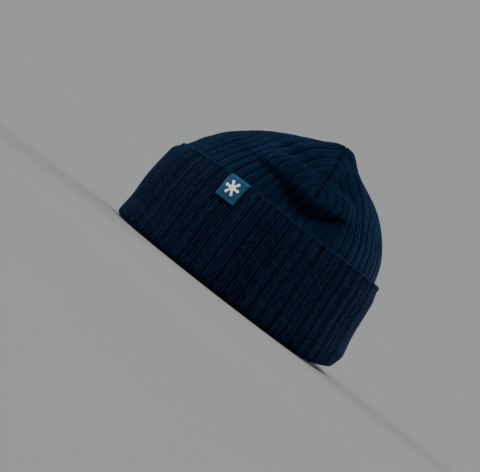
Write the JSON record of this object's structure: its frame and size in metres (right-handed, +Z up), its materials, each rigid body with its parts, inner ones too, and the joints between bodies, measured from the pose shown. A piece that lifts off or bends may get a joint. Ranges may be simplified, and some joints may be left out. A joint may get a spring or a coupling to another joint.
{
  "type": "knit beanie",
  "caption": "Close-fitting rib-knit beanie with a deep turn-up cuff, a crown shaped by darts and a small woven label folded over the cuff edge.",
  "frame": {"origin": "centre of the head opening, level with the rim that the hat stands on", "axes": "+Z up through the crown, -Y the way the wearer faces, +X the wearer's left"},
  "size_m": [0.171, 0.2088, 0.152],
  "materials": {
    "knit": "fine-gauge rib knit, dark navy, soft and matt",
    "seam_thread": "navy overlock and sewing thread, faint lustre",
    "label": "teal damask-woven label with a plain white motif",
    "care_label": "plain white satin tape"
  },
  "bodies": {
    "beanie": {"crown": "knit", "cuff": "knit", "dart_seam_front": "seam_thread", "dart_seam_back": "seam_thread", "dart_seam_left": "seam_thread", "dart_seam_right": "seam_thread", "crown_tip_tack": "seam_thread", "woven_label": "label", "label_thread": "label", "care_label_thread": "seam_thread"},
    "care_label_flap": {"care_label": "care_label"}
  },
  "joints": [
    {"name": "care_label_swing", "type": "hinge", "parent": "beanie", "child": "care_label_flap", "pos_m": [0, 0.0876, 0.07], "axis": [-1, 0, 0], "range_deg": [0, 110]}
  ]
}
